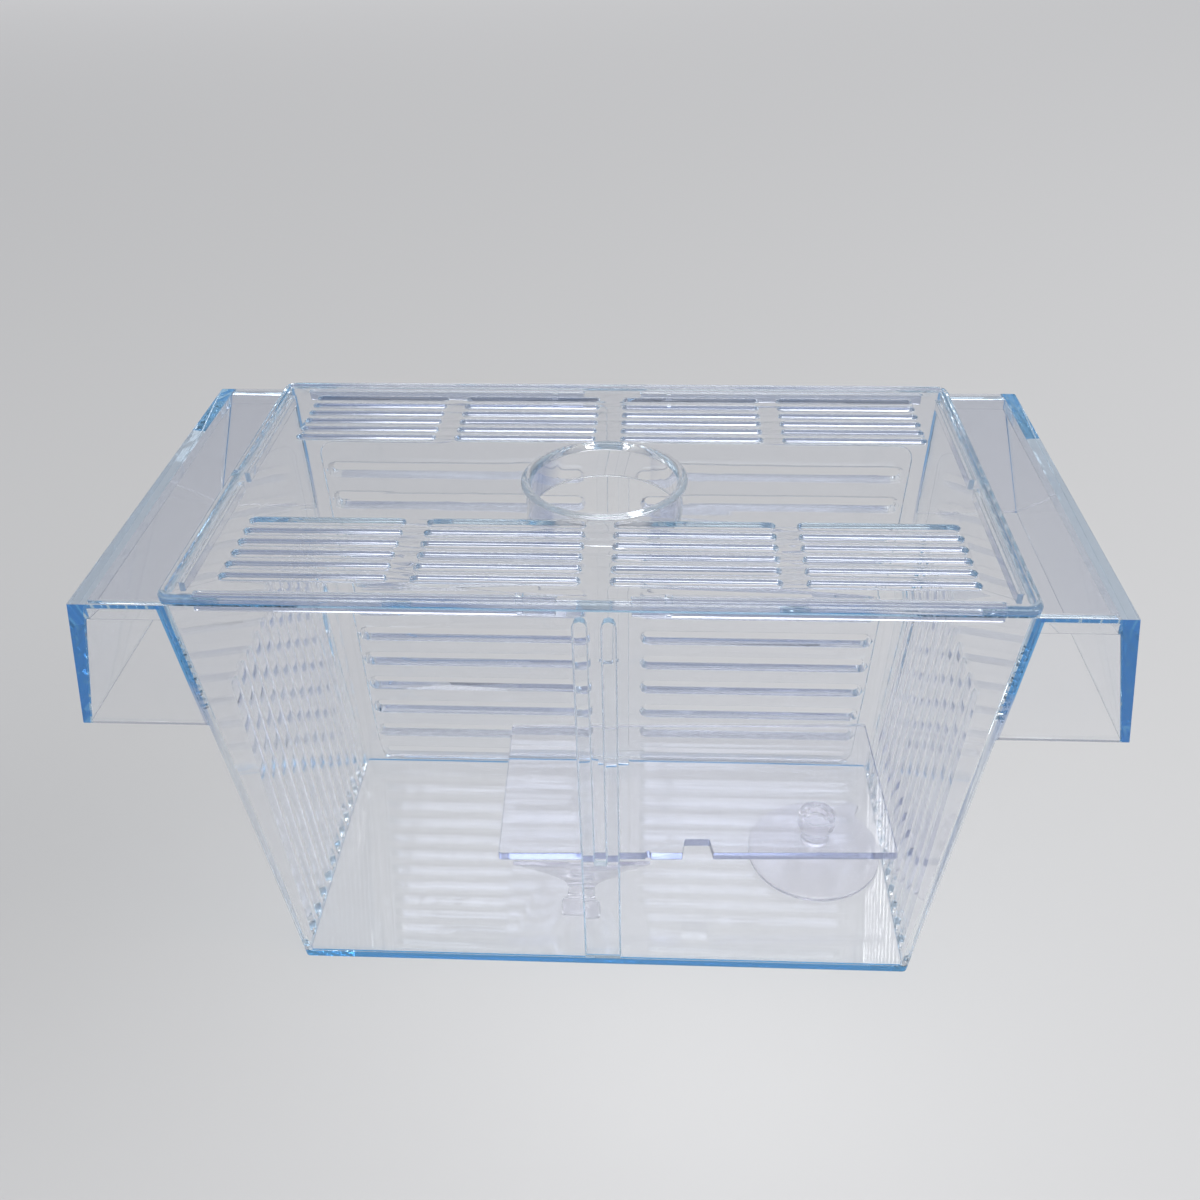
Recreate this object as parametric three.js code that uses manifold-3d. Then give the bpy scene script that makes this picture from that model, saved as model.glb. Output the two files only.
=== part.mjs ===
// Aquarium breeding box: a clear tapered tank with a hollow wing at each end, a slotted lid with a feeding
// collar, a loose separator plate and two loose suction cups.
// Millimetres, +Z up. The origin is the centre of the tank's base, +X to the right and +Y to the slotted
// back wall.

import * as THREE from 'three';
import { mergeGeometries, mergeVertices } from 'three/addons/utils/BufferGeometryUtils.js';
import Module from 'manifold-3d';

const wasm = await Module();
wasm.setup();

// Tank: one tapered moulding, wide at the rim and narrow at the base
const rimWidth = 200;
const rimDepth = 120;
const baseWidth = 177;
const baseDepth = 89;
const tankHeight = 135;
const wallThickness = 2;
const floorThickness = 2;
const cornerRadius = 1.5;

// Wings: a top plate level with the rim, a splayed outer leg and a web at the front and the back, open below
const wingWidth = 20.6;
const wingDrop = 38.4;
const wingPlateThickness = 2;
const webThickness = 2;
const legSplay = 7.2;
const legTopThickness = 4;
const legFootThickness = 2;
const restHeight = 3;
const restStep = 0.4;

// Wall slots: flared, so each is wider on the inside of the wall
const sideSlotTopDrop = 37;
const sideSlotFootRise = 0.8;
const sideSlotPitch = 6.7;
const sideSlotOuterWidth = 2.2;
const sideSlotInnerWidth = 4.4;
const sideSlotMargin = 3;
const backSlotTopDrop = 26.4;
const backSlotFootRise = 2.8;
const backSlotPitch = 9.4;
const backSlotOuterHeight = 2.2;
const backSlotInnerHeight = 5.2;
const backSlotMargin = 5.5;
const backPillarWidth = 17;
const backPanelTopDrop = 18;
const backPanelMargin = 6.5;
const backPanelThickness = 0.8;
const backPanelRadius = 4;

// Guide pads: a pair of round-topped ribs on the front and the back wall, solid below the groove's foot
const padWidth = 10;
const padThickness = 2;
const padTopDrop = 4;
const grooveWidth = 3.4;
const grooveFootHeight = 44;

// Lid: a flat slotted plate that rests on the rim, located by bars that hang inside the walls
const seatGap = 0.3;
const lidThickness = 1.6;
const lidCornerRadius = 3.5;
const lidBeadWidth = 1.3;
const lidBeadHeight = 0.7;
const lidBeadInset = 0.6;
const lidNotchWidth = 3;
const lidSlotWidth = 2.8;
const lidSlotLength = 39.5;
const lidSlotPitch = 5.2;
const lidFirstSlotPlace = 23.8;
const lidSlotEdgeMargin = 8;
const lidCentreBridge = 7;
const lidSideBridge = 5.5;
const barThickness = 1.4;
const barDrop = 3;
const barClearance = 0.8;
const barEndInset = 8;
const barCentreGap = 17.2;
const barSideGap = 5;
const nibPlace = 17;
const nibWidth = 1.4;
const nibDepth = 0.9;

// Feeding collar in the middle of the lid
const collarRadius = 22;
const collarBore = 19.2;
const collarWall = 1.5;
const collarRise = 0.9;
const collarDrop = 8;
const collarSides = 48;

// Separator plate, lying loose on the suction cups
const plateLength = 120;
const plateDepth = 61;
const plateThickness = 2.8;
const plateTurn = THREE.MathUtils.degToRad(1.9);
const plateEdgeClearance = 0.5;
const plateCornerRadius = 1;
const notchMouth = 9.4;
const notchFloor = 7.4;
const notchDepth = 5.8;
const gateDimplePlace = 15;
const gateDimpleRadius = 0.8;

// Suction cups: a thin conical skirt, a neck and a knob, with a pull tab at the rim
const cupRadius = 20.8;
const cupLip = 0.7;
const cupHollow = 2.8;
const skirtHeight = 5;
const neckRadius = 4;
const neckHeight = 10;
const knobRadius = 6;
const knobFoot = 11;
const knobShoulder = 14.6;
const knobTopRadius = 4.6;
const cupHeight = 16;
const tabWidth = 5.2;
const tabReach = 5.5;
const tabRoot = 3;
const tabThickness = 1.5;
const rightTabTurn = THREE.MathUtils.degToRad(55);
const leftTabTurn = THREE.MathUtils.degToRad(50);
const rightCupSetback = 1.5;
const leftCupPlace = 25;
const cupSides = 32;

// Cutters run past the faces that they cut by this much
const overrun = 1;
const arcSteps = 4;

// Half sizes of the tank's outside at any height, by the taper of its walls
const sideSlope = (rimWidth - baseWidth) / (2 * tankHeight);
const frontSlope = (rimDepth - baseDepth) / (2 * tankHeight);
const halfWidthAt = (z) => baseWidth / 2 + sideSlope * z;
const halfDepthAt = (z) => baseDepth / 2 + frontSlope * z;

// Materials: clear polystyrene with a blue cast at its edges, and soft clear vinyl
function clearPlastic(color) {
  return new THREE.MeshStandardMaterial({
    color, roughness: 0.08, metalness: 0, transparent: true, opacity: 0.35, side: THREE.DoubleSide,
  });
}
const tankPlastic = clearPlastic(0xcfe0f2);
const lidPlastic = clearPlastic(0xd4e3f3);
const platePlastic = clearPlastic(0xc9d8ee);
const cupVinyl = clearPlastic(0xdadff0);

// A closed mesh as a solid
function toSolid(geometry) {
  const bare = geometry.index ? geometry.toNonIndexed() : geometry.clone();
  bare.deleteAttribute('normal');
  bare.deleteAttribute('uv');
  const merged = mergeVertices(bare);
  return new wasm.Manifold(new wasm.Mesh({
    numProp: 3,
    vertProperties: new Float32Array(merged.attributes.position.array),
    triVerts: new Uint32Array(merged.index.array),
  }));
}

// A solid as a named mesh
function toMesh(name, solid, material) {
  const { vertProperties, triVerts } = solid.getMesh();
  const geometry = new THREE.BufferGeometry();
  geometry.setAttribute('position', new THREE.BufferAttribute(new Float32Array(vertProperties), 3));
  geometry.setIndex(new THREE.BufferAttribute(new Uint32Array(triVerts), 1));
  geometry.computeVertexNormals();
  const mesh = new THREE.Mesh(geometry, material);
  mesh.name = name;
  return mesh;
}

const unionOf = (solids) => solids.reduce((all, solid) => all.add(solid));

// A solid between two convex outlines with as many points, both anticlockwise seen from the second
function loft(lower, upper) {
  const count = lower.length;
  const points = [...lower, ...upper];
  const index = [];
  for (let i = 0; i < count; i += 1) {
    const next = (i + 1) % count;
    index.push(i, next, count + next);
    index.push(i, count + next, count + i);
  }
  for (let i = 1; i < count - 1; i += 1) {
    index.push(0, i + 1, i);
    index.push(count, count + i, count + i + 1);
  }
  const geometry = new THREE.BufferGeometry();
  geometry.setAttribute('position', new THREE.Float32BufferAttribute(points.flatMap((p) => p.toArray()), 3));
  geometry.setIndex(index);
  return geometry;
}

// A rectangle with round corners, anticlockwise, at height z
function roundedRectangle(halfX, halfY, radius, z) {
  const centres = [[1, 1, 0], [-1, 1, 1], [-1, -1, 2], [1, -1, 3]];
  return centres.flatMap(([signX, signY, quarter]) => {
    const corner = [];
    for (let step = 0; step <= arcSteps; step += 1) {
      const angle = (quarter + step / arcSteps) * Math.PI / 2;
      const x = signX * (halfX - radius) + radius * Math.cos(angle);
      const y = signY * (halfY - radius) + radius * Math.sin(angle);
      corner.push(new THREE.Vector3(x, y, z));
    }
    return corner;
  });
}

// A quadrilateral, anticlockwise, from its x and y limits at height z
function rectangle(x0, x1, y0, y1, z) {
  const corners = [[x0, y0], [x1, y0], [x1, y1], [x0, y1]];
  return corners.map(([x, y]) => new THREE.Vector3(x, y, z));
}

// A slot with half-round ends, anticlockwise: its middle, its length over all along u or v, and its width
function slotOutline(u, v, length, width, upright, w) {
  const radius = width / 2;
  const run = length / 2 - radius;
  const points = [];
  for (const end of [0, 1]) {
    for (let step = 0; step <= arcSteps; step += 1) {
      const angle = -Math.PI / 2 + end * Math.PI + step / arcSteps * Math.PI;
      const along = (end === 0 ? run : -run) + radius * Math.cos(angle);
      const across = radius * Math.sin(angle);
      const [x, y] = upright ? [u - across, v + along] : [u + along, v + across];
      points.push(new THREE.Vector3(x, y, w));
    }
  }
  return points;
}

// A box between two opposite corners
function boxBetween(x0, x1, y0, y1, z0, z1) {
  const geometry = new THREE.BoxGeometry(x1 - x0, y1 - y0, z1 - z0);
  geometry.translate((x0 + x1) / 2, (y0 + y1) / 2, (z0 + z1) / 2);
  return geometry;
}

// The frame of a sloped wall: u runs level along its outside, v climbs it from the base, w points out of it
function wallFrame(outX, outY, halfBase, slope) {
  const climb = new THREE.Vector3(outX * slope, outY * slope, 1).normalize();
  const out = new THREE.Vector3(outX, outY, -slope).normalize();
  const level = new THREE.Vector3().crossVectors(climb, out);
  const frame = new THREE.Matrix4().makeBasis(level, climb, out);
  return frame.setPosition(outX * halfBase, outY * halfBase, 0);
}
const rightWall = wallFrame(1, 0, baseWidth / 2, sideSlope);
const leftWall = wallFrame(-1, 0, baseWidth / 2, sideSlope);
const frontWall = wallFrame(0, -1, baseDepth / 2, frontSlope);
const backWall = wallFrame(0, 1, baseDepth / 2, frontSlope);
const climbTo = (z, slope) => z * Math.hypot(1, slope);

// A cutter through a wall in that wall's frame: the slot is narrow outside and flares towards the inside
function flaredSlot(u, v, outerLength, innerLength, outerWidth, innerWidth, upright, skin) {
  const depth = skin + wallThickness + 2 * overrun;
  const flare = depth / (skin + wallThickness);
  const mid = (outerWidth + innerWidth) / 2;
  const midLength = (outerLength + innerLength) / 2;
  const narrow = mid - flare * (mid - outerWidth);
  const wide = mid + flare * (innerWidth - mid);
  const short = midLength - flare * (midLength - outerLength);
  const long = midLength + flare * (innerLength - midLength);
  const inner = slotOutline(u, v, long, wide, upright, -wallThickness - overrun);
  const outer = slotOutline(u, v, short, narrow, upright, skin + overrun);
  return loft(inner, outer);
}

const countWithin = (span, pitch) => 1 + Math.floor(span / pitch);

function sideSlots(frame) {
  const foot = climbTo(floorThickness + sideSlotFootRise, sideSlope);
  const top = climbTo(tankHeight - sideSlotTopDrop, sideSlope);
  const innerLength = top - foot;
  const outerLength = innerLength - (sideSlotInnerWidth - sideSlotOuterWidth);
  const reach = halfDepthAt(floorThickness) - wallThickness - sideSlotMargin - sideSlotInnerWidth / 2;
  const count = countWithin(2 * reach, sideSlotPitch);
  const cutters = [];
  for (let i = 0; i < count; i += 1) {
    const u = (i - (count - 1) / 2) * sideSlotPitch;
    cutters.push(flaredSlot(u, (foot + top) / 2, outerLength, innerLength,
      sideSlotOuterWidth, sideSlotInnerWidth, true, 0));
  }
  return mergeGeometries(cutters).applyMatrix4(frame);
}

function backSlots() {
  const top = tankHeight - backSlotTopDrop;
  const count = countWithin(top - floorThickness - backSlotFootRise, backSlotPitch);
  const cutters = [];
  for (let i = 0; i < count; i += 1) {
    const z = top - i * backSlotPitch;
    const reach = halfWidthAt(z) - wallThickness - backSlotMargin;
    const innerLength = reach - backPillarWidth / 2;
    const outerLength = innerLength - (backSlotInnerHeight - backSlotOuterHeight);
    for (const side of [-1, 1]) {
      const u = side * (reach + backPillarWidth / 2) / 2;
      cutters.push(flaredSlot(u, climbTo(z, frontSlope), outerLength, innerLength,
        backSlotOuterHeight, backSlotInnerHeight, false, backPanelThickness));
    }
  }
  return mergeGeometries(cutters).applyMatrix4(backWall);
}

// The raised panel on the outside of the back wall that the slots pass through
function backPanel() {
  const foot = floorThickness;
  const top = tankHeight - backPanelTopDrop;
  const halfFoot = halfWidthAt(foot) - backPanelMargin;
  const halfTop = halfWidthAt(top) - backPanelMargin;
  const outline = (lift) => {
    const points = [];
    const corners = [[halfFoot, foot, -90], [halfTop, top, 0], [-halfTop, top, 90], [-halfFoot, foot, 180]];
    for (const [u, z, start] of corners) {
      for (let step = 0; step <= arcSteps; step += 1) {
        const angle = THREE.MathUtils.degToRad(start + 90 * step / arcSteps);
        const centreU = u - Math.sign(u) * backPanelRadius;
        const centreV = climbTo(z, frontSlope) + (z === foot ? backPanelRadius : -backPanelRadius);
        const x = centreU + backPanelRadius * Math.cos(angle);
        const y = centreV + backPanelRadius * Math.sin(angle);
        points.push(new THREE.Vector3(x, y, lift));
      }
    }
    return points;
  };
  return loft(outline(-wallThickness / 2), outline(backPanelThickness)).applyMatrix4(backWall);
}

// A wing: a splayed block with its top level with the rim, hollowed from below. Just under the top plate the
// hollow is upright, so that a flat rest can lie against the plate
function wing(side) {
  const footHeight = tankHeight - wingDrop;
  const underside = tankHeight - wingPlateThickness;
  const below = footHeight - overrun;
  const restFoot = underside - restHeight;
  const share = (z) => (tankHeight - z) / wingDrop;
  const outerAt = (z) => rimWidth / 2 + wingWidth + legSplay * share(z);
  const innerAt = (z) => outerAt(z) - legTopThickness + (legTopThickness - legFootThickness) * share(z);
  const rootAt = (z) => halfWidthAt(z) - wallThickness / 2;
  const webFaceAt = (z) => halfDepthAt(z) - webThickness;
  const span = (a, b) => (side > 0 ? [a, b] : [-b, -a]);
  const section = (a, b, halfY, z) => rectangle(...span(a, b), -halfY, halfY, z);
  const block = loft(
    section(rootAt(footHeight), outerAt(footHeight), halfDepthAt(footHeight), footHeight),
    section(rootAt(tankHeight), outerAt(tankHeight), halfDepthAt(tankHeight), tankHeight),
  );
  const hollow = loft(
    section(rootAt(below) - overrun, innerAt(below), webFaceAt(below), below),
    section(rootAt(restFoot) - overrun, innerAt(restFoot), webFaceAt(restFoot), restFoot),
  );
  const restXs = span(rootAt(tankHeight) - overrun, innerAt(underside));
  const restY = webFaceAt(restFoot) - restStep;
  const rest = boxBetween(...restXs, -restY, restY, restFoot - overrun, underside);
  return toSolid(block).subtract(toSolid(hollow)).subtract(toSolid(rest));
}

// A guide pad: solid to the groove's foot, then two ribs with round tops
function guidePad(frame) {
  const foot = climbTo(floorThickness / 2, frontSlope);
  const grooveFoot = climbTo(grooveFootHeight, frontSlope);
  const top = climbTo(tankHeight - padTopDrop, frontSlope);
  const ribWidth = (padWidth - grooveWidth) / 2;
  const back = -wallThickness / 2;
  const face = -wallThickness - padThickness;
  const base = boxBetween(-padWidth / 2, padWidth / 2, foot, grooveFoot, face, back);
  const ribs = [-1, 1].map((side) => {
    const middle = side * (grooveWidth + ribWidth) / 2;
    const length = top - foot;
    return loft(
      slotOutline(middle, (top + foot) / 2, length, ribWidth, true, face),
      slotOutline(middle, (top + foot) / 2, length, ribWidth, true, back),
    );
  });
  return unionOf([base, ...ribs].map((g) => toSolid(g.applyMatrix4(frame))));
}

function makeTank() {
  const outer = loft(
    roundedRectangle(baseWidth / 2, baseDepth / 2, cornerRadius, 0),
    roundedRectangle(rimWidth / 2, rimDepth / 2, cornerRadius, tankHeight),
  );
  const above = tankHeight + overrun;
  const cavityOutline = (z) => {
    const halfX = halfWidthAt(z) - wallThickness;
    const halfY = halfDepthAt(z) - wallThickness;
    return roundedRectangle(halfX, halfY, cornerRadius / 2, z);
  };
  const inner = loft(
    cavityOutline(floorThickness),
    cavityOutline(above),
  );
  const shell = unionOf([toSolid(outer), toSolid(backPanel())]).subtract(toSolid(inner));
  const slots = [sideSlots(rightWall), sideSlots(leftWall), backSlots()].map(toSolid);
  const slotted = slots.reduce((body, cutter) => body.subtract(cutter), shell);
  return unionOf([slotted, wing(-1), wing(1), guidePad(frontWall), guidePad(backWall)]);
}

// The lid's heights, all from the rim that it rests on
const lidFoot = tankHeight + seatGap;
const lidTop = lidFoot + lidThickness;

// Two rows of slots, each in four groups, with plain bridges between the groups
function lidSlotHoles() {
  const innerStart = lidCentreBridge / 2;
  const outerStart = innerStart + lidSlotLength + lidSideBridge;
  const count = countWithin(rimDepth / 2 - lidSlotEdgeMargin - lidFirstSlotPlace, lidSlotPitch);
  const holes = [];
  for (const row of [-1, 1]) {
    for (let i = 0; i < count; i += 1) {
      const y = row * (lidFirstSlotPlace + i * lidSlotPitch);
      for (const start of [innerStart, outerStart]) {
        for (const side of [-1, 1]) {
          const middle = side * (start + lidSlotLength / 2);
          holes.push(slotOutline(middle, y, lidSlotLength, lidSlotWidth, false, 0));
        }
      }
    }
  }
  return holes;
}

const flatShape = (points) => new THREE.Shape(points.map((p) => new THREE.Vector2(p.x, p.y)));
const flatPath = (points) => new THREE.Path(points.map((p) => new THREE.Vector2(p.x, p.y)));

function extrudeUp(shape, z0, z1) {
  const settings = { depth: z1 - z0, bevelEnabled: false, curveSegments: collarSides };
  return new THREE.ExtrudeGeometry(shape, settings).translate(0, 0, z0);
}

// The collar's wall hangs below the lid and carries a rounded lip above it
function collar() {
  const wallRadius = collarBore + collarWall;
  const lipTop = lidTop + collarRise;
  const lipRadius = (collarRadius - collarBore) / 2;
  const profile = [new THREE.Vector2(collarBore, lidFoot - collarDrop)];
  profile.push(new THREE.Vector2(wallRadius, lidFoot - collarDrop));
  profile.push(new THREE.Vector2(wallRadius, lidFoot));
  profile.push(new THREE.Vector2(collarRadius, lidFoot));
  for (let step = 0; step <= arcSteps; step += 1) {
    const angle = step / arcSteps * Math.PI;
    const r = collarBore + lipRadius + lipRadius * Math.cos(angle);
    profile.push(new THREE.Vector2(r, lipTop - lipRadius + lipRadius * Math.sin(angle)));
  }
  profile.push(profile[0].clone());
  return new THREE.LatheGeometry(profile, collarSides).rotateX(Math.PI / 2);
}

// Locating bars under the lid: front and back in two lengths each, with two short ones at each end
function locatingBars() {
  const foot = lidFoot - barDrop;
  const top = lidFoot + lidThickness / 2;
  const outerY = halfDepthAt(foot) - wallThickness - barClearance;
  const outerX = halfWidthAt(foot) - wallThickness - barClearance;
  const reachX = rimWidth / 2 - barEndInset;
  const reachY = rimDepth / 2 - barEndInset;
  const bars = [];
  for (const end of [-1, 1]) {
    for (const side of [-1, 1]) {
      const xs = [side * barCentreGap / 2, side * reachX].sort((a, b) => a - b);
      const ys = [end * outerY, end * (outerY - barThickness)].sort((a, b) => a - b);
      bars.push(boxBetween(...xs, ...ys, foot, top));
      const nibXs = [side * nibPlace - nibWidth / 2, side * nibPlace + nibWidth / 2];
      const nibRoot = end * (outerY - barThickness / 2);
      const nibTip = end * (outerY - barThickness - nibDepth);
      const nibYs = [nibRoot, nibTip].sort((a, b) => a - b);
      bars.push(boxBetween(...nibXs, ...nibYs, foot, top));
      const endXs = [side * outerX, side * (outerX - barThickness)].sort((a, b) => a - b);
      const endYs = [end * barSideGap / 2, end * reachY].sort((a, b) => a - b);
      bars.push(boxBetween(...endXs, ...endYs, foot, top));
    }
  }
  return bars;
}

function makeLid() {
  const plateShape = flatShape(roundedRectangle(rimWidth / 2, rimDepth / 2, lidCornerRadius, 0));
  lidSlotHoles().forEach((hole) => plateShape.holes.push(flatPath(hole)));
  const collarHole = new THREE.Path().absarc(0, 0, collarBore + collarWall / 2, 0, 2 * Math.PI);
  plateShape.holes.push(collarHole);
  const beadX = rimWidth / 2 - lidBeadInset;
  const beadY = rimDepth / 2 - lidBeadInset;
  const beadRadius = lidCornerRadius - lidBeadInset;
  const beadShape = flatShape(roundedRectangle(beadX, beadY, beadRadius, 0));
  const [holeX, holeY, holeRadius] = [beadX, beadY, beadRadius].map((size) => size - lidBeadWidth);
  beadShape.holes.push(flatPath(roundedRectangle(holeX, holeY, holeRadius, 0)));
  const bead = extrudeUp(beadShape, lidFoot + lidThickness / 2, lidTop + lidBeadHeight);
  const reach = rimWidth / 2 + overrun;
  const above = lidTop + lidBeadHeight + overrun;
  const notch = boxBetween(-reach, reach, -lidNotchWidth / 2, lidNotchWidth / 2, lidTop, above);
  const rim = toSolid(bead).subtract(toSolid(notch));
  const parts = [extrudeUp(plateShape, lidFoot, lidTop), collar(), ...locatingBars()];
  return unionOf([...parts.map(toSolid), rim]);
}

// The cup's outline, from the hollow's middle round the lip to the knob's top, with the lip at height 0
const cupProfile = [
  [0, cupHollow],
  [cupRadius / 2, cupHollow * 3 / 4],
  [cupRadius - cupLip, 0],
  [cupRadius, cupLip / 2],
  [cupRadius - cupLip / 2, cupLip * 2],
  [cupRadius * 3 / 4, skirtHeight / 2],
  [cupRadius / 2, skirtHeight * 3 / 4],
  [neckRadius * 3 / 2, skirtHeight + cupLip],
  [neckRadius, skirtHeight + 3 * cupLip],
  [neckRadius, neckHeight],
  [knobRadius, knobFoot],
  [knobRadius, knobShoulder],
  [knobTopRadius, cupHeight],
  [0, cupHeight],
].map(([r, z]) => new THREE.Vector2(r, z));

function suctionCup(tabTurn) {
  const body = new THREE.LatheGeometry(cupProfile, cupSides).rotateX(Math.PI / 2);
  const tabFoot = cupLip / 2;
  const tabXs = [cupRadius - tabRoot, cupRadius + tabReach];
  const tab = boxBetween(...tabXs, -tabWidth / 2, tabWidth / 2, tabFoot, tabFoot + tabThickness);
  return toSolid(body).add(toSolid(tab.rotateZ(tabTurn)));
}

// The right cup stands on the floor against the end wall
const rightCupPlace = halfWidthAt(floorThickness) - wallThickness - cupRadius - 2 * seatGap;
const rightCupFoot = floorThickness + seatGap;
const plateFoot = rightCupFoot + cupHeight + seatGap;

// The plate lies level on its knob, turned a little: its right end is by the end wall, and its back edge
// clears the back wall and the guide pad there
const plateRight = halfWidthAt(plateFoot) - wallThickness - plateEdgeClearance;
const wallLimit = halfDepthAt(plateFoot) - wallThickness - plateEdgeClearance;
const padLimit = wallLimit - padThickness + (plateRight - padWidth) * Math.tan(plateTurn);
const plateBack = Math.min(wallLimit, padLimit);
const plateMiddle = new THREE.Vector2(
  plateRight - (plateLength * Math.cos(plateTurn) + plateDepth * Math.sin(plateTurn)) / 2,
  plateBack - (plateDepth * Math.cos(plateTurn) + plateLength * Math.sin(plateTurn)) / 2,
);

function makePlate() {
  const outline = roundedRectangle(plateLength / 2, plateDepth / 2, plateCornerRadius, 0);
  const body = toSolid(extrudeUp(flatShape(outline), 0, plateThickness));
  const edge = -plateDepth / 2;
  const lower = -overrun;
  const upper = plateThickness + overrun;
  const mouthPast = notchMouth / 2 + (notchMouth - notchFloor) / 2 * overrun / notchDepth;
  const notchOutline = (z) => [
    new THREE.Vector3(-mouthPast, edge - overrun, z),
    new THREE.Vector3(mouthPast, edge - overrun, z),
    new THREE.Vector3(notchFloor / 2, edge + notchDepth, z),
    new THREE.Vector3(-notchFloor / 2, edge + notchDepth, z),
  ];
  const notch = loft(notchOutline(lower), notchOutline(upper));
  const dimple = new THREE.CylinderGeometry(gateDimpleRadius, gateDimpleRadius, upper - lower, 4 * arcSteps)
    .rotateX(Math.PI / 2).translate(-gateDimplePlace, edge, (lower + upper) / 2);
  return body.subtract(toSolid(notch)).subtract(toSolid(dimple));
}

// The left cup lies on its side, on its lip and its knob, in the channel before the plate, and its hollow
// faces the plate's front edge. Its tilt and its place are in the plate's own frame
const leftCupTilt = Math.atan2(cupHeight, cupRadius - knobTopRadius);
const tiltCos = Math.cos(leftCupTilt);
const tiltSin = Math.sin(leftCupTilt);
const leftCupBelow = Math.max(...cupProfile.map((p) => p.y * tiltCos + p.x * tiltSin));
const leftCupBefore = Math.max(...cupProfile.map((p) => p.y * tiltSin + p.x * tiltCos));
const leftCupDrop = plateFoot - floorThickness - seatGap - leftCupBelow;
const leftCupStandoff = seatGap / tiltSin - Math.max(leftCupDrop, 0) / Math.tan(leftCupTilt);

// The clear depth of that channel on the floor at the plate's left end, as far as the guide pad
const plateReach = (plateDepth * Math.cos(plateTurn) + plateLength * Math.sin(plateTurn)) / 2;
const plateFront = plateMiddle.y - plateReach;
const channelDepth = plateFront + halfDepthAt(floorThickness) - wallThickness - padThickness;

// Where a deep plate leaves too little of the channel, the left cup stands under it as the right one does
function placeLeftCup(mesh) {
  mesh.position.x = leftCupPlace - plateLength / 2;
  if (channelDepth > leftCupStandoff + leftCupBefore + seatGap) {
    mesh.rotation.x = Math.PI - leftCupTilt;
    mesh.position.y = -plateDepth / 2 - leftCupStandoff;
    mesh.position.z = -leftCupDrop;
  } else {
    mesh.position.y = cupRadius - plateDepth / 2;
    mesh.position.z = rightCupFoot - plateFoot;
  }
}

const box = new THREE.Group();
box.add(toMesh('tank', makeTank(), tankPlastic));
box.add(toMesh('lid', makeLid(), lidPlastic));

const rightCup = toMesh('suction_cup_right', suctionCup(rightTabTurn), cupVinyl);
rightCup.position.set(rightCupPlace, rightCupSetback, rightCupFoot);
box.add(rightCup);

// The plate and the left cup share the plate's turned frame
const turned = new THREE.Group();
turned.rotation.z = plateTurn;
turned.position.set(plateMiddle.x, plateMiddle.y, plateFoot);
turned.add(toMesh('separator_plate', makePlate(), platePlastic));
const leftCup = toMesh('suction_cup_left', suctionCup(leftTabTurn), cupVinyl);
placeLeftCup(leftCup);
turned.add(leftCup);
box.add(turned);

export default box;
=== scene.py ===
# %% [markdown]
# # A clear breeding box, dressed for the camera
#
# The box is moulded from clear polystyrene: a tapered tank with a hollow wing at each end, and a slotted lid. A loose
# separator plate and two vinyl suction cups lie inside. Clear plastic has almost no colour of its own. What the eye
# reads is its edges, its gleams and the way it bends what lies behind it, so this lesson spends its effort there.
#
# The solids come ready and in place. First they are loaded.

# %% Load the solids
import bmesh
import bpy
import numpy as np
from mathutils import Matrix, Vector


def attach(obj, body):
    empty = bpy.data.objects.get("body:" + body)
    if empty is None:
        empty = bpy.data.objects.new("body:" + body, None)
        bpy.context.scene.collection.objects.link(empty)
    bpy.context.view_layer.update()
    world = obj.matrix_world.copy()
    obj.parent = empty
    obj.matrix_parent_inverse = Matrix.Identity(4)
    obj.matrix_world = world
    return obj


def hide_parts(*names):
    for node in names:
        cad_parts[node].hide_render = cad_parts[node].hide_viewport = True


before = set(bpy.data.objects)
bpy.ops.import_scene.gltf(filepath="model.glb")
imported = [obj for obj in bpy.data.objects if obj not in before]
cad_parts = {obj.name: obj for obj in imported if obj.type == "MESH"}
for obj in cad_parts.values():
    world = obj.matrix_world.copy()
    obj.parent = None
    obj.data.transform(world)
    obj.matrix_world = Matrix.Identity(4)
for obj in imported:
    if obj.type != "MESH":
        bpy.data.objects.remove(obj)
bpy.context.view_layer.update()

# %% [markdown]
# ## The camera
#
# The photograph looks down at the box from the front, a little from the right, with a slight roll. A camera could be
# placed by eye, but then each edge drifts. Here its place and its three turns were fitted to the corners of the lid,
# the rim and the base, so the same numbers put every edge where the photograph has it.

# %% Camera place, turns and lens
camera_place = np.array([14.35, -291.77, 291.52]) / 1000
yaw, pitch, roll = np.radians([-3.14, 33.437, -0.923])
focal_pixels, frame_pixels, sensor = 1250, 1200, 36

forward = np.array([np.sin(yaw) * np.cos(pitch), np.cos(yaw) * np.cos(pitch), -np.sin(pitch)])
level_right = np.array([np.cos(yaw), -np.sin(yaw), 0])
level_up = np.cross(level_right, forward)
right = level_right * np.cos(roll) + level_up * np.sin(roll)
up = level_up * np.cos(roll) - level_right * np.sin(roll)

camera_matrix = np.eye(4)
camera_matrix[:3, :3] = np.column_stack([right, up, -forward])
camera_matrix[:3, 3] = camera_place
camera = bpy.data.objects.new("camera", bpy.data.cameras.new("camera"))
camera.data.sensor_width = sensor
camera.data.lens = sensor * focal_pixels / frame_pixels
camera.data.clip_start = 0.01
camera.matrix_world = Matrix(camera_matrix.tolist())
bpy.context.scene.collection.objects.link(camera)
bpy.context.scene.camera = camera
print("camera lens in mm:", round(camera.data.lens, 2))

# %% [markdown]
# ## Shader maths in plain expressions
#
# A node tree is easier to read as a sum. `Wire` wraps a socket, so that `1 - mask * 0.5` adds the Math nodes itself.
# `Recipe` holds one material or world, and its one method `node` adds every other kind of node.

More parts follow.
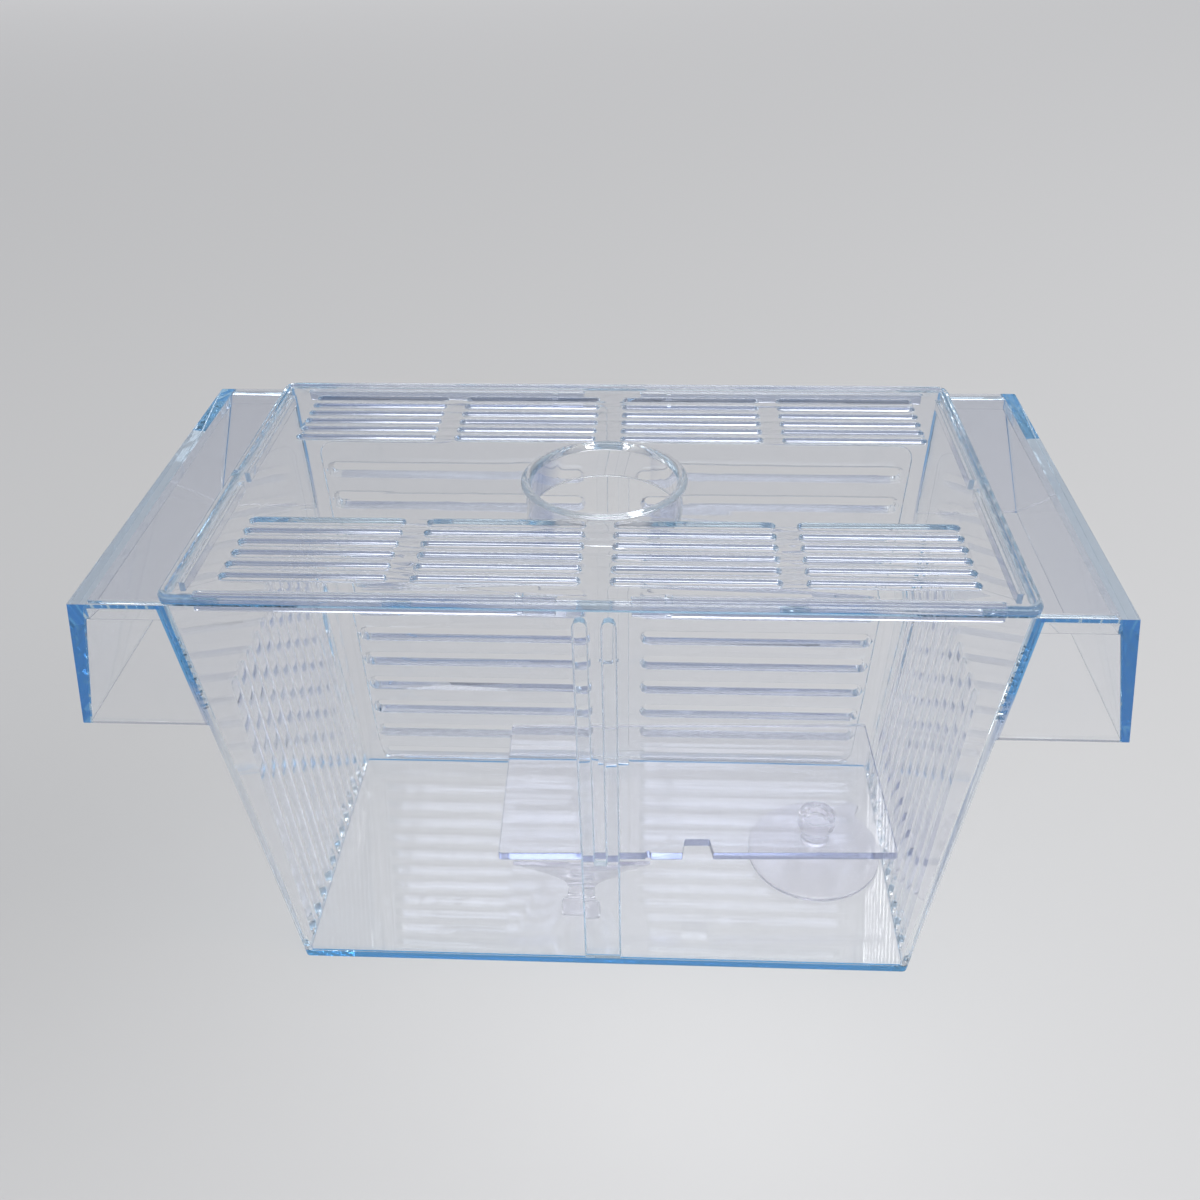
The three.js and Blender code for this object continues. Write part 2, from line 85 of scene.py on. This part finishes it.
# %% Wire: a socket that can be added, multiplied and compared
class Wire:
    """A socket in a recipe. Arithmetic on it adds Math nodes: sum, difference, product, quotient, power and size
    without sign. A comparison gives 1 where it holds and 0 elsewhere."""

    def __init__(self, recipe, socket):
        self.recipe, self.socket = recipe, socket

    def _with(self, operation, first, second):
        return self.recipe.node("Math", {"operation": operation}, {0: first, 1: second})

    def __add__(self, other):
        return self._with("ADD", self, other)

    def __sub__(self, other):
        return self._with("SUBTRACT", self, other)

    def __rsub__(self, other):
        return self._with("SUBTRACT", other, self)

    def __mul__(self, other):
        return self._with("MULTIPLY", self, other)

    def __rtruediv__(self, other):
        return self._with("DIVIDE", other, self)

    def __pow__(self, other):
        return self._with("POWER", self, other)

    def __abs__(self):
        return self._with("ABSOLUTE", self, 0)

    def __gt__(self, other):
        return self._with("GREATER_THAN", self, other)

    def __lt__(self, other):
        return self._with("LESS_THAN", self, other)

    __radd__, __rmul__ = __add__, __mul__


# %% Recipe: one node tree
class Recipe:
    """The node tree of a material or a world, with one method for every kind of node."""

    def __init__(self, owner):
        owner.use_nodes = True
        self.owner, self.tree = owner, owner.node_tree
        self.tree.nodes.clear()

    def node(self, kind, settings=None, inputs=None, out=0):
        """Adds a node: settings first (a ramp's stops as a list of place and colour), then values or wires."""
        made = self.tree.nodes.new("ShaderNode" + kind)
        for name, value in (settings or {}).items():
            if name == "stops":
                self.set_stops(made.color_ramp, value)
            else:
                setattr(made, name, value)
        for name, value in (inputs or {}).items():
            if isinstance(value, Wire):
                self.tree.links.new(value.socket, made.inputs[name])
            else:
                made.inputs[name].default_value = value
        return Wire(self, made.outputs[out]) if len(made.outputs) else made

    @staticmethod
    def set_stops(ramp, stops):
        while len(ramp.elements) < len(stops):
            ramp.elements.new(0.5)
        for element, (place, colour) in zip(ramp.elements, stops):
            element.position, element.color = place, (*colour, 1)


# %% [markdown]
# ## Floor, light and surroundings
#
# The box stands on a seamless pale floor under soft daylight that comes mostly from above and from the right. The floor
# is a sheet of matt grey-white, and light and shade are painted into its colour. It is painted a touch lighter in front
# of the box and under it, where clear plastic gathers light, and duller to its left, where the box takes light away,
# and a gentle gradient of painted light runs across it, lighter to the right. A formula on the floor's own x and y does
# that.
#
# The surroundings that the plastic mirrors matter as much as the lamps. An evenly white room would make clear edges
# vanish, so the room is lighter above and greyer at eye level.

# %% The floor: a large sheet just under the box
floor_drop, floor_reach = 0.0001, 6.0


def floor_sheet(reach, drop, steps=24):
    """A level square: a grid of x and y from -reach to reach at height -drop."""
    line = np.linspace(-reach, reach, steps)
    x, y = np.meshgrid(line, line, indexing="ij")
    return np.stack([x, y, np.full_like(x, -drop)], axis=-1)


def grid_faces(rows, columns, closed=False):
    """Four-cornered faces between neighbouring points of a grid. Closed: each row ends where it starts."""
    i, j = np.meshgrid(np.arange(rows - 1), np.arange(columns if closed else columns - 1), indexing="ij")
    i, j = i.ravel(), j.ravel()
    next_j = (j + 1) % columns
    corners = [(i, j), (i + 1, j), (i + 1, next_j), (i, next_j)]
    return np.stack([a * columns + b for a, b in corners], axis=-1)


def mesh_object(name, points, faces):
    """An object with these points and this list of faces, at the origin, with its place in its mesh."""
    mesh = bpy.data.meshes.new(name)
    mesh.from_pydata(points.reshape(-1, 3).tolist(), [], faces)
    mesh.update()
    made = bpy.data.objects.new(name, mesh)
    bpy.context.scene.collection.objects.link(made)
    return made


sheet = floor_sheet(floor_reach, floor_drop)
floor = mesh_object("floor", sheet, grid_faces(*sheet.shape[:2]).tolist())
print("floor faces:", len(floor.data.polygons))

# %% The floor's colour, with painted light and shade
floor_paint = Recipe(bpy.data.materials.new("floor_paint"))
floor_place = floor_paint.node("TexCoord", out="Object")
floor_x = floor_paint.node("SeparateXYZ", inputs={0: floor_place}, out="X")
floor_y = floor_paint.node("SeparateXYZ", inputs={0: floor_place}, out="Y")


def patch(centre_x, centre_y, fall_x, fall_y):
    """A soft patch, 1 in the middle: 1 / (1 + u^2 + v^2), with u and v the way from the middle times the fall."""
    return 1 / (1 + ((floor_x - centre_x) * fall_x) ** 2 + ((floor_y - centre_y) * fall_y) ** 2)


# Painted light and shade: a pool of light in front of the box, a caustic under it, a shadow to its left, and a gradient
# of painted light across the whole floor.
painted_pool_in_front, painted_shadow_left, painted_caustic_under_box = patch(0.03, -0.09, 11, 16), patch(-0.19, -0.02, 9, 9), patch(0, 0, 10, 14)
painted_light_slope = floor_x * 0.084 - floor_y * 0.038 + floor_y * (floor_y * 0.068 - floor_x * 0.07)
floor_tone_and_painted_light = 0.545 + painted_light_slope + painted_pool_in_front * 0.096 - painted_shadow_left * 0.08 + painted_caustic_under_box * 0.08
floor_colour_and_painted_light = floor_paint.node("ValToRGB", {"stops": [(0.42, (0.42, 0.42, 0.42)), (0.80, (0.80, 0.795, 0.79))]},
                                {"Fac": floor_tone_and_painted_light}, out="Color")
floor_shader = floor_paint.node("BsdfPrincipled", inputs={"Base Color": floor_colour_and_painted_light, "Roughness": 0.85})
floor_paint.node("OutputMaterial", inputs={"Surface": floor_shader})
floor.data.materials.append(floor_paint.owner)
print("floor finish:", floor_paint.owner.name, "nodes:", len(floor_paint.tree.nodes))

# %% The surroundings
room = Recipe(bpy.data.worlds.new("room"))
room_direction = room.node("TexCoord", out="Generated")
height = room.node("SeparateXYZ", inputs={0: room_direction}, out="Z")
below, eye_level, upper, overhead = (0.24, 0.24, 0.27), (0.25, 0.255, 0.29), (0.62, 0.64, 0.70), (1.0, 1.0, 1.0)
room_colour = room.node("ValToRGB", {"stops": [(0.0, below), (0.5, eye_level), (0.70, upper), (1.0, overhead)]},
                        {"Fac": height * 0.5 + 0.5}, out="Color")
room_light = room.node("Background", inputs={"Color": room_colour, "Strength": 0.65})
room.node("OutputWorld", inputs={"Surface": room_light})
bpy.context.scene.world = room.owner
print("room nodes:", len(room.tree.nodes))

# %% The lamps
def soft_lamp(name, place, target, size, watts, colour):
    """A square area lamp at place that faces target."""
    lamp = bpy.data.objects.new(name, bpy.data.lights.new(name, "AREA"))
    lamp.data.size, lamp.data.energy, lamp.data.color = size, watts, colour
    lamp.location = place
    lamp.rotation_euler = (Vector(target) - Vector(place)).to_track_quat("-Z", "Y").to_euler()
    bpy.context.scene.collection.objects.link(lamp)
    return lamp


box_middle = (0, 0, 0.05)
window = soft_lamp("window", (2.4, -1.0, 2.2), box_middle, 1.3, 40, (1.0, 0.99, 0.97))
sky_light = soft_lamp("sky_light", (0.15, -1.1, 3.6), box_middle, 2.5, 68, (0.97, 0.98, 1.0))
print("lamps:", window.data.energy, sky_light.data.energy, "W")

# %% Plain colours, and light paths long enough for a ray that runs to and fro in a thin wall
scene = bpy.context.scene
scene.view_settings.view_transform = "Standard"
scene.cycles.max_bounces = 96
scene.cycles.transmission_bounces = 64
scene.cycles.glossy_bounces = 64
scene.cycles.transparent_max_bounces = 48
print("longest path:", scene.cycles.max_bounces, "bounces")

# %% [markdown]
# ## Clear polystyrene
#
# Seen through 2 mm the plastic is nearly colourless. Seen end on, light has run along the wall for 100 mm or more, and
# the blue toner in the plastic adds up to a deep blue. Two things make that here. A volume inside takes away red and
# green by the metre, for every long way through. And the narrow end faces, where a whole wall is seen end on, get a
# painted blue base colour and a faint painted blue glow, which stand in for light that has run to and fro in the
# wall before it leaves there and can't all be followed. A mask from the place and the direction of each face says how
# much of an end face it is. The sides of the slots and ribs are narrow too, and get a trace of this painted blue and
# glow, which draws them as lilac lines.
#
# The faces aren't perfect: the melt leaves slow waves, which make the gleams wander, and handling leaves a faint haze.
# Lamps and soft light from the floor pass straight through, because bending each of those rays would take hours and
# gives grain instead of light. Part of the view does the same at the lowest slots, which would turn black otherwise.

# %% A clear plastic
def mixed_colour(mix, share, first, second):
    """The first colour where share is 0, the second where it is 1."""
    return mix.node("Mix", {"data_type": "RGBA"}, {0: share, 6: (*first, 1), 7: (*second, 1)}, out=2)


def clear_plastic(name, ior, haze, absorbed, density, passed, waves, faces,
                  ends=None, painted_glow=None, painted_end_share=None, trapped_share=None):
    """Principled glass over a plain absorbing volume. haze: least and most roughness, by a fine noise. waves: size
    and height in metres of the slow waves of the melt, which a Bump node turns into slopes. faces and ends: the tint
    of the broad faces and the painted blue of the end faces. led: the colour of a painted glow, emitted by the end
    faces, for the light that the wall leads to them, which is more than can be followed. painted_end_share(mix, place,
    facing):
    how much of an end face each point is, which sets how much painted blue and glow it takes. trapped_share(mix,
    place):
    how much of the light goes straight through, where it would otherwise run into the wall and never come out."""
    mix = Recipe(bpy.data.materials.new(name))
    place = mix.node("TexCoord", out="Object")
    melt = mix.node("TexNoise", inputs={"Vector": place, "Scale": 1 / waves[0], "Detail": 1.0, "Distortion": 0.4},
                    out="Fac")
    slopes = mix.node("Bump", inputs={"Strength": 1.0, "Distance": waves[1], "Height": melt}, out="Normal")
    wear = mix.node("TexNoise", inputs={"Vector": place, "Scale": 45.0, "Detail": 6.0, "Roughness": 0.7}, out="Fac")
    rough = haze[0] + (wear ** 3) * (haze[1] - haze[0])
    colours = {"Base Color": (*faces, 1)}
    # Painted light: the end faces get a painted blue base colour and, by the cube of the mask, a painted glow that is
    # emitted.
    if painted_end_share:
        share = painted_end_share(mix, place, mix.node("NewGeometry", out="True Normal"))
        colours = {"Base Color": mixed_colour(mix, share, faces, ends),
                   "Emission Color": mixed_colour(mix, share ** 3, (0, 0, 0), painted_glow), "Emission Strength": 1.0}
    shader = mix.node("BsdfPrincipled", inputs={
        **colours, "Roughness": rough, "IOR": ior, "Transmission Weight": 1.0, "Normal": slopes})
    straight = mix.node("BsdfTransparent", inputs={"Color": (*passed, 1)})
    lamp_ray = mix.node("LightPath", out="Is Shadow Ray")
    floor_ray = mix.node("LightPath", out="Is Diffuse Ray")
    through = lamp_ray + floor_ray
    if trapped_share:
        through = through + trapped_share(mix, place)
    surface = mix.node("MixShader", inputs={0: through, 1: shader, 2: straight})
    inside = mix.node("VolumeAbsorption", inputs={"Color": (*absorbed, 1), "Density": density})
    mix.node("OutputMaterial", inputs={"Surface": surface, "Volume": inside})
    return mix.owner


# %% Where the tank is seen end on, and takes painted blue and glow
rim_height, wall = 0.135, 0.002
front_foot, front_lean = 0.0435, 0.1148
end_foot, end_lean = 0.0885, 0.0852
leg_root, leg_lean = 0.1166, 0.24
wings_from, slots_to, ribs_to = 0.1003, 0.086, 0.03
lowest_slot, lowest_slot_top, slots_top = 0.0026, 0.0092, 0.13
back_slot_reach, corner_margin = 0.0035, 0.0025
print("outer faces at the rim, mm:", round((front_foot + rim_height * front_lean) * 1000, 1),
      round((end_foot + rim_height * end_lean) * 1000, 1))


def along(mix, vector, axis):
    """One part of a vector, as a wire."""
    return mix.node("SeparateXYZ", inputs={0: vector}, out=axis)


def tank_painted_ends(mix, place, facing):
    """Where the tank takes its painted blue and painted glow: the wings' legs from their inner face out, the end walls'
    front and back edges near the rim, and the floor's thickness, deepest in front. The walls lean out by so much for
    each unit of height, the legs' inner faces too. The sides of the wall slots and of the guide ribs, and the tops of
    the wings, get a trace."""
    x, y, z = abs(along(mix, place, "X")), along(mix, place, "Y"), along(mix, place, "Z")
    faces_ends = abs(along(mix, facing, "X")) > 0.7
    faces_front = abs(along(mix, facing, "Y")) > 0.7
    faces_level = abs(along(mix, facing, "Z")) < 0.5
    front_face, end_face = z * front_lean + front_foot, z * end_lean + end_foot
    in_leg = x > (rim_height - z) * leg_lean + leg_root
    in_end_wall = (x > end_face - wall) * (x < end_face)
    near_rim = mix.node("MapRange", {"clamp": True}, {"Value": z, 1: 0.084, 2: 0.112}, out=0)
    wall_edges = (in_leg + in_end_wall * near_rim) * faces_front * (abs(y) > front_face) * 0.96
    at_back = y > front_foot + 0.0001
    in_floor = (z < wall + 0.0006) * faces_level * (1 - faces_ends * 0.65 - at_back * 0.88)
    wing_top = (x > wings_from) * (along(mix, facing, "Z") > 0.9) * 0.13
    slots_high = (z > lowest_slot + 0.0002) * (z < slots_top)
    back_slots = slots_high * (y > front_face - back_slot_reach) * (x < slots_to) * (1 - faces_level) * 0.34
    end_slots = slots_high * in_end_wall * faces_front * (abs(y) < front_face - corner_margin) * 0.04
    rib_sides = slots_high * faces_ends * (x < ribs_to) * 0.25
    return wall_edges + in_floor + wing_top + near_rim * 0.03 + back_slots + end_slots + rib_sides


def tank_trapped(mix, place):
    """The lowest slots of the back wall, which lead light down into the floor's thickness."""
    x, y, z = abs(along(mix, place, "X")), along(mix, place, "Y"), along(mix, place, "Z")
    in_back_wall = (x < slots_to) * (y > z * front_lean + front_foot - back_slot_reach)
    return in_back_wall * (z > lowest_slot) * (z < lowest_slot_top) * 0.6


# %% Where the lid and the plate are seen end on, and take painted blue and glow
lid_edge_x, lid_edge_y, lid_lower_line, collar_reach = 0.0985, 0.0585, 0.1357, 0.0225
print("lid edge band, mm:", round((0.1 - lid_edge_x) * 1000, 1))


def lid_painted_ends(mix, place, facing):
    """Where the lid takes its painted blue and painted glow: its outer edge and the ends of its slots, in patches,
    because the blue gathers where light is carried to, and a plain share on the long sides of its slots."""
    x, y, z = abs(along(mix, place, "X")), abs(along(mix, place, "Y")), along(mix, place, "Z")
    upright = abs(along(mix, facing, "Z")) < 0.5
    outer_edge = ((x > lid_edge_x) + (y > lid_edge_y)) > 0.5
    lower_line = z < lid_lower_line
    slot_end = abs(along(mix, facing, "X")) > 0.6
    cloud = mix.node("TexNoise", inputs={"Vector": place, "Scale": 38.0, "Detail": 1.0}, out="Fac")
    patches = mix.node("MapRange", {"clamp": True}, {"Value": cloud, 1: 0.42, 2: 0.62}, out=0)
    at_edge = outer_edge * (0.14 + patches * 0.5 + lower_line * 0.4)
    at_slots = (1 - outer_edge) * (slot_end * patches * 0.4 + (1 - slot_end) * (y > collar_reach) * 0.42)
    return upright * (at_edge + at_slots)


def plate_painted_ends(mix, place, facing):
    """Where the plate takes its painted blue and painted glow: its narrow edge, all round."""
    return (abs(along(mix, facing, "Z")) < 0.5) * 0.42


# %% The four plastics
styrene_ior, vinyl_ior = 1.57, 1.50
polish, blue_toner, passed_light = (0.0, 0.04), (0.10, 0.55, 0.80), (0.990, 0.990, 0.993)
# The end faces' blue and their glow are painted light, for light the wall leads along; face_tint is the plastic's own
# faint lilac.
face_tint, painted_end_blue, painted_end_glow = (0.980, 0.979, 0.988), (0.006, 0.10, 0.42), (0.02, 0.085, 0.13)
tank_plastic = clear_plastic("tank_plastic", styrene_ior, polish, blue_toner, 5.5, passed_light, (0.030, 0.00002),
                             face_tint, painted_end_blue, painted_end_glow, tank_painted_ends, tank_trapped)
lid_plastic = clear_plastic("lid_plastic", styrene_ior, polish, blue_toner, 7.0, passed_light, (0.034, 0.000003),
                            face_tint, painted_end_blue, painted_end_glow, lid_painted_ends)
# The plate: its faces' own tint, then its painted end blue and its painted glow.
plate_plastic = clear_plastic("plate_plastic", styrene_ior, (0.02, 0.08), (0.20, 0.40, 0.75), 6.0,
                              (0.985, 0.985, 0.99), (0.034, 0.00001), (0.965, 0.962, 0.980), (0.10, 0.14, 0.45),
                              (0.05, 0.06, 0.10), plate_painted_ends)
cup_vinyl = clear_plastic("cup_vinyl", vinyl_ior, (0.06, 0.18), (0.50, 0.52, 0.80), 6.0, (0.98, 0.98, 0.99),
                          (0.012, 0.00003), (0.97, 0.965, 0.985))
print("plastics:", [m.name for m in (tank_plastic, lid_plastic, plate_plastic, cup_vinyl)])

# %% [markdown]
# ## From solids to mouldings
#
# The solids have knife-sharp edges and come as loose triangles. A mould never gives such an edge, and its small round
# is what catches the light as a fine white line, so each solid gets a copy with rounded edges. The copy is merged into
# one skin, and triangles that lie in one plane are joined first, so that only true edges are left to round. Where
# corners crowd, at the ends of some slots and where a wing meets the wall, a rounding would fold over itself, so an
# edge is rounded only if nothing very short meets it.
#
# A shader can fake the rounding with its Bevel node, but each look then takes random samples, and a row of thin bars
# turns to noise. Real rounds cost a few thousand faces and stay crisp.

# %% One skin from loose triangles
def merged_skin(solid, shortest, sharpest=28.0):
    """The mesh of a solid, merged, with its flat faces joined and cut anew. Each edge that turns by more than
    sharpest degrees gets a bevel weight of 1 where no edge that meets it is shorter than shortest. The corner normals
    that the solid came with are dropped, because clear plastic shows them as bent light. The faces are cut into
    triangles here, because a face of 200 corners can fold when its rounds are cut."""
    skin = bmesh.new()
    skin.from_mesh(solid.data)
    bmesh.ops.remove_doubles(skin, verts=skin.verts, dist=1e-6)
    bmesh.ops.dissolve_limit(skin, angle_limit=np.radians(0.6), verts=skin.verts, edges=skin.edges)
    crowded = {corner for edge in skin.edges if edge.calc_length() < shortest for corner in edge.verts}
    bmesh.ops.triangulate(skin, faces=skin.faces)
    rounded = skin.edges.layers.float.new("bevel_weight_edge")
    for edge in skin.edges:
        turned = edge.calc_face_angle(0) > np.radians(sharpest)
        edge[rounded] = float(turned and not crowded.intersection(edge.verts))
    mesh = bpy.data.meshes.new(solid.name + "_skin")
    skin.to_mesh(mesh)
    skin.free()
    mesh.shade_smooth()
    if "custom_normal" in mesh.attributes:
        mesh.attributes.remove(mesh.attributes["custom_normal"])
    return mesh


# %% A moulded copy of a solid
def moulded_copy(name, node, material, body, round_width, shortest, crisp=46.0):
    """A copy of a solid with its edges rounded. The rounds are cut first, and only what still turns by more than crisp
    degrees is marked sharp. Corner normals are then weighted by area, so a flat face stays flat."""
    piece = bpy.data.objects.new(name, merged_skin(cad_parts[node], shortest))
    bpy.context.scene.collection.objects.link(piece)
    weights = np.empty(len(piece.data.edges))
    piece.data.attributes["bevel_weight_edge"].data.foreach_get("value", weights)
    rounds = piece.modifiers.new("rounds", "BEVEL")
    rounds.limit_method, rounds.width, rounds.segments = "WEIGHT", round_width, 2
    rounds.use_clamp_overlap = False
    cut = bpy.data.meshes.new_from_object(piece.evaluated_get(bpy.context.evaluated_depsgraph_get()))
    piece.modifiers.clear()
    piece.data = cut
    cut.materials.clear()
    cut.materials.append(material)
    cut.set_sharp_from_angle(angle=np.radians(crisp))
    flats = piece.modifiers.new("flats", "WEIGHTED_NORMAL")
    flats.mode, flats.weight, flats.keep_sharp = "FACE_AREA", 100, True
    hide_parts(node)
    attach(piece, body)
    print(name, "faces:", len(cut.polygons), "rounded edges:", int(weights.sum()), "of", len(weights))


# %% The tank and the lid
moulded_copy("tank_moulding", "tank", tank_plastic, "tank", 0.00025, 0.0008)
moulded_copy("lid_moulding", "lid", lid_plastic, "lid", 0.0003, 0.0004)

# %% The separator plate
moulded_copy("plate_moulding", "separator_plate", plate_plastic, "plate", 0.00025, 0.0001)

# %% [markdown]
# ## The suction cups
#
# A suction cup is a body of revolution: a thin cone with a lip, a neck and a knob, in soft vinyl without one sharp
# edge. Its solid has few sides, which glass shows at once as facets. So the cup is made anew: an outline of straight
# lines has its corners cut off three times, which leaves a smooth curve that stays inside the lines, and the curve is
# turned about the axis. The pull tab isn't stuck on. The lip itself runs out further where the angle is the tab's.

# %% A rounded outline
def cut_corners(line, times):
    """An open line with its corners cut: each stretch keeps its middle half, and the two ends stay."""
    for _ in range(times):
        near = line[:-1] * 0.75 + line[1:] * 0.25
        far = line[:-1] * 0.25 + line[1:] * 0.75
        line = np.concatenate([line[:1], np.stack([near, far], axis=1).reshape(-1, 2)[1:-1], line[-1:]])
    return line


cup_outline = np.array([
    [0, 2.8], [10.4, 2.1], [19.4, 0.1], [20.6, 0], [20.8, 0.5], [20.6, 1.4], [15.6, 2.5], [10.4, 3.75], [6.0, 5.4],
    [4.0, 6.6], [4.0, 9.6], [4.4, 10.6], [6.0, 11.0], [6.0, 14.8], [5.6, 15.9], [4.2, 16], [3.4, 15.8], [3.0, 15.0],
    [0, 15.0]]) / 1000
cup_curve = cut_corners(cup_outline, 3)
print("cup outline points:", len(cup_curve), "radius and height in mm:", np.round(cup_curve.max(axis=0) * 1000, 2))


# %% A turned cup with its tab
def turned_cup(curve, tab_turn, sides=160, tab_reach=0.0055, tab_half_width=0.0026,
               lip_from=0.0195, lip_height=0.003):
    """The curve (radius, height) turned about z. The radius of the lip grows by tab_reach where the way round from
    the tab's middle is less than tab_half_width, by 1 / (1 + (way / tab_half_width)^8)."""
    radius, height = curve[1:-1].T
    angle = np.arange(sides) / sides * 2 * np.pi
    away = (angle - tab_turn + np.pi) % (2 * np.pi) - np.pi
    tab = 1 / (1 + (away * radius.max() / tab_half_width) ** 8)
    in_lip = np.clip((radius - lip_from) / (radius.max() - lip_from), 0, 1) * (height < lip_height)
    reach = radius[:, None] + in_lip[:, None] * tab_reach * tab[None, :]
    ring = np.stack([reach * np.cos(angle), reach * np.sin(angle), height[:, None] + 0 * reach], axis=-1)
    points = np.concatenate([ring.reshape(-1, 3), [[0, 0, curve[0, 1]], [0, 0, curve[-1, 1]]]])
    walls = grid_faces(*ring.shape[:2], closed=True)[:, ::-1]
    i = np.arange(sides)
    last = (len(radius) - 1) * sides
    first_fan = np.stack([i, (i + 1) % sides, np.full(sides, len(points) - 2)], axis=-1)[:, ::-1]
    last_fan = np.stack([last + i, last + (i + 1) % sides, np.full(sides, len(points) - 1)], axis=-1)
    return points, walls.tolist() + first_fan.tolist() + last_fan.tolist()


def set_down(points, turn, place, tilt=0.0, first_place=(0, 0, 0)):
    """Points tilted about x and moved by first_place, then turned about z and moved to place."""
    c, d = np.cos(tilt), np.sin(tilt)
    points = points @ np.array([[1, 0, 0], [0, c, -d], [0, d, c]]).T + np.array(first_place)
    c, d = np.cos(turn), np.sin(turn)
    return points @ np.array([[c, -d, 0], [d, c, 0], [0, 0, 1]]).T + np.array(place)


def cup_piece(name, node, points, faces):
    """A cup as a piece that stands for its solid."""
    piece = mesh_object(name, points, faces)
    piece.data.materials.append(cup_vinyl)
    piece.data.shade_smooth()
    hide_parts(node)
    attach(piece, "tank")
    return piece


# %% The right cup stands, the left cup lies on its lip and its knob at the plate's edge
plate_turn, plate_place = np.radians(1.9), np.array([26.606, 11.663, 18.6]) / 1000
points, faces = turned_cup(cup_curve, np.radians(55))
right_cup = cup_piece("cup_right", "suction_cup_right", set_down(points, 0, (0.06527, 0.0015, 0.0023)), faces)
points, faces = turned_cup(cup_curve, np.radians(50))
left_cup = cup_piece("cup_left", "suction_cup_left",
                     set_down(points, plate_turn, plate_place, np.radians(135.355), (-0.035, -0.029981, -0.000934)),
                     faces)
